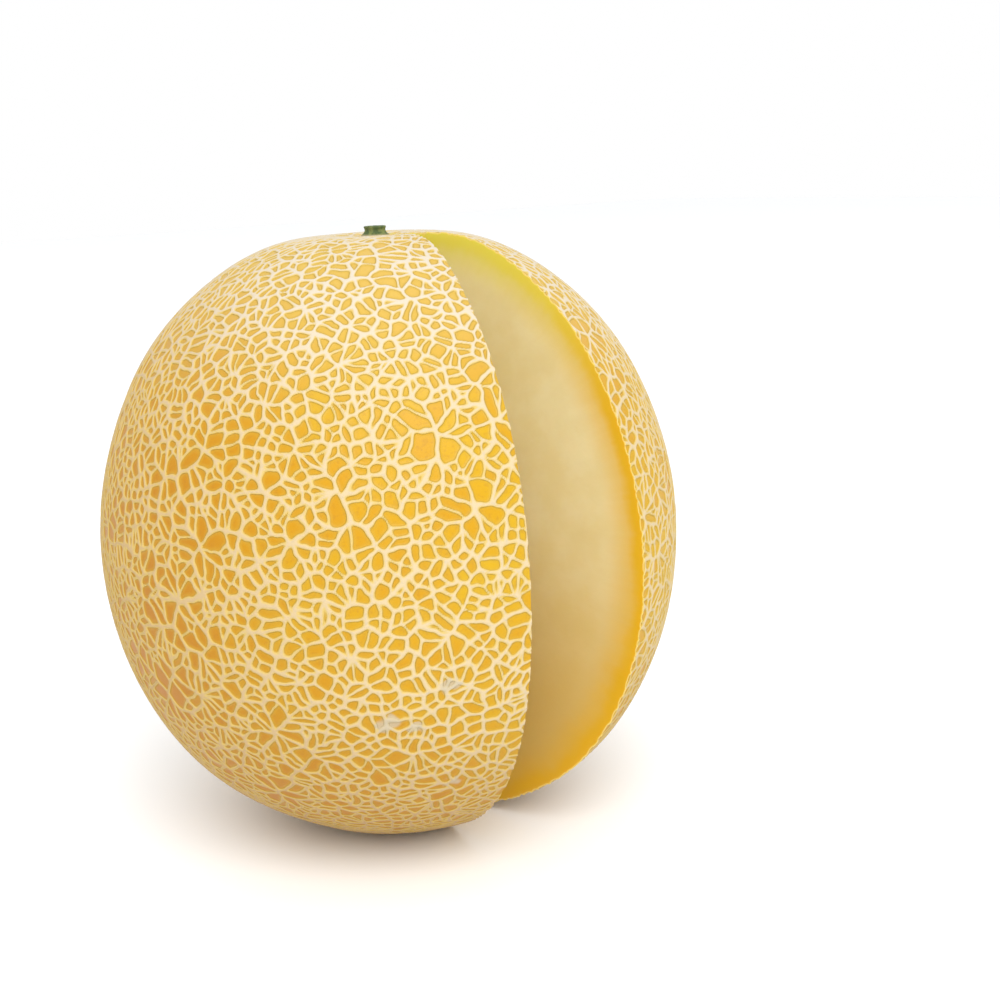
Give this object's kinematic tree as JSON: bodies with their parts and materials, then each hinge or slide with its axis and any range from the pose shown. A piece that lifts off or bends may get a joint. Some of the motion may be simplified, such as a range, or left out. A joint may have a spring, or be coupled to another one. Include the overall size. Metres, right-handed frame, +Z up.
{
  "type": "melon",
  "caption": "Round netted melon with a wedge cut out, showing the seed cavity, resting on a small flat foot with a short cut stalk on top.",
  "frame": {"origin": "centre of the flat foot that the melon rests on, on the fruit's axis", "axes": "+Z up along the fruit's axis toward the stalk, -Y toward the opening of the cut wedge, +X to its right"},
  "size_m": [0.17, 0.1686, 0.1777],
  "materials": {
    "rind_and_flesh": "waxy golden yellow rind under a raised cream corky net; the cut faces are moist cream flesh with a yellow green edge",
    "seed_pulp": "wet, soft, stringy yellow orange pulp",
    "stalk": "dry ribbed dark green stalk with a corky foot",
    "seed_coat": "smooth satin cream white seed coat"
  },
  "bodies": {
    "root": {"melon_body": "rind_and_flesh", "seed_pulp": "seed_pulp", "stem_stub": "stalk", "seed_01": "seed_coat", "seed_02": "seed_coat", "seed_03": "seed_coat", "seed_04": "seed_coat", "seed_05": "seed_coat", "seed_06": "seed_coat", "seed_07": "seed_coat", "seed_08": "seed_coat", "seed_09": "seed_coat", "seed_10": "seed_coat", "seed_11": "seed_coat", "seed_12": "seed_coat", "seed_13": "seed_coat", "seed_14": "seed_coat", "seed_15": "seed_coat", "seed_16": "seed_coat", "seed_17": "seed_coat", "seed_18": "seed_coat", "seed_19": "seed_coat", "seed_20": "seed_coat", "seed_21": "seed_coat", "seed_22": "seed_coat", "seed_23": "seed_coat", "seed_24": "seed_coat", "seed_25": "seed_coat", "seed_26": "seed_coat", "seed_27": "seed_coat", "seed_28": "seed_coat", "seed_29": "seed_coat", "seed_30": "seed_coat", "seed_31": "seed_coat", "seed_32": "seed_coat", "seed_33": "seed_coat", "seed_34": "seed_coat", "seed_35": "seed_coat", "seed_36": "seed_coat", "seed_37": "seed_coat", "seed_38": "seed_coat", "seed_39": "seed_coat", "seed_40": "seed_coat", "seed_41": "seed_coat", "seed_42": "seed_coat", "seed_43": "seed_coat", "seed_44": "seed_coat", "seed_45": "seed_coat", "seed_46": "seed_coat", "seed_47": "seed_coat", "seed_48": "seed_coat"}
  },
  "joints": []
}
